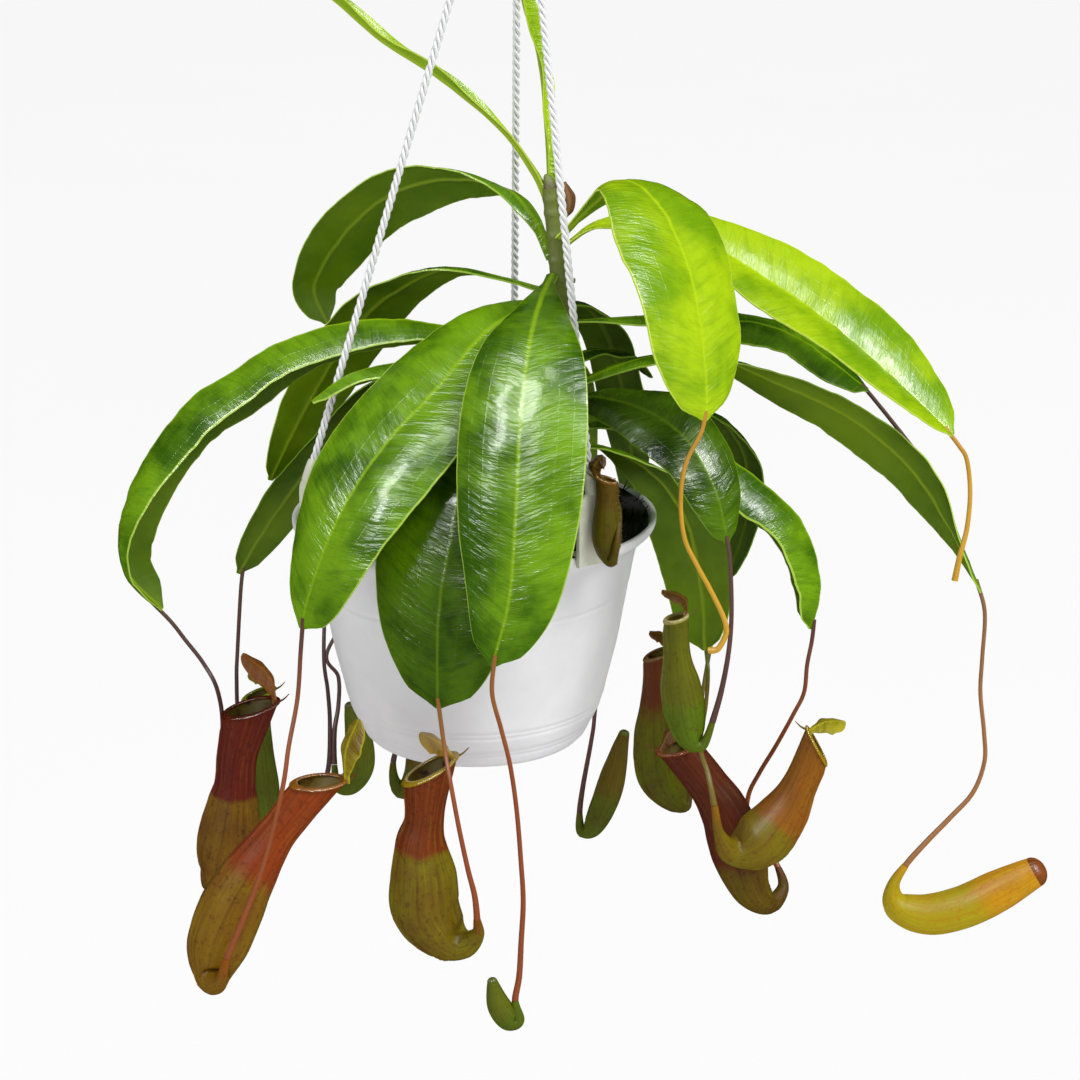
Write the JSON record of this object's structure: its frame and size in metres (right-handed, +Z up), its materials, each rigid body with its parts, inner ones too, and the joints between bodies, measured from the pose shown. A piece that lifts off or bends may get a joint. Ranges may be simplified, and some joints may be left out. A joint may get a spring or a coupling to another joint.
{
  "type": "hanging pitcher plant",
  "caption": "Climbing tropical pitcher plant in a flared white pot, hung by twisted cords from a hook: long arching leaves, each ending in a tendril with a hanging pitcher.",
  "frame": {"origin": "the inside of the hook's bow, where it bears on the bar that the pot hangs from", "axes": "+Z up along the hanging line, +X to the right and -Y towards the viewer, with the fullest leaves in front and the longest reach to the right"},
  "size_m": [0.4707, 0.2592, 0.6406],
  "materials": {
    "pot": "satin",
    "soil": "matte",
    "cord": "matte",
    "clip": "satin",
    "hook": "satin",
    "stem": "satin",
    "bract": "matte",
    "leaf": "gloss",
    "dark_leaf": "gloss",
    "young_leaf": "gloss",
    "pitcher": "satin",
    "green_pitcher": "satin",
    "pale_cup": "satin"
  },
  "bodies": {
    "root": {"pot": "pot", "soil": "soil", "stem": "stem", "bract": "bract", "leaf_front": "leaf", "leaf_front_left": "leaf", "leaf_front_low": "dark_leaf", "leaf_left_long": "leaf", "leaf_left_back": "leaf", "leaf_left_low": "dark_leaf", "leaf_left_high": "leaf", "leaf_left_small": "leaf", "leaf_young_rolled": "young_leaf", "leaf_young_upright": "young_leaf", "leaf_right_bright": "young_leaf", "leaf_right_outer": "young_leaf", "leaf_right_long": "leaf", "leaf_right_back": "leaf", "leaf_right_front": "dark_leaf", "leaf_right_hanging": "leaf", "leaf_right_low": "leaf", "leaf_right_inner": "dark_leaf", "leaf_back_right": "dark_leaf", "leaf_back_left": "leaf", "leaf_back_low": "leaf", "leaf_back": "leaf", "leaf_back_mid": "leaf", "leaf_back_small": "dark_leaf", "pitcher_front_left": "pitcher", "pitcher_front_low": "pitcher", "pitcher_left": "pitcher", "pitcher_left_back": "green_pitcher", "pitcher_right_back": "green_pitcher", "pitcher_right_front": "green_pitcher", "pitcher_right_red": "pitcher", "pitcher_right_fork": "pitcher", "pitcher_rim": "pitcher", "pitcher_far_right": "pale_cup", "pitcher_behind_pot": "green_pitcher", "pitcher_left_closed": "green_pitcher", "pitcher_under_pot": "green_pitcher", "pitcher_bud": "green_pitcher", "clip_left": "clip", "clip_right": "clip", "clip_rear": "clip", "cord_left": "cord", "cord_right": "cord", "cord_rear": "cord", "knot": "cord", "hook": "hook"}
  },
  "joints": []
}
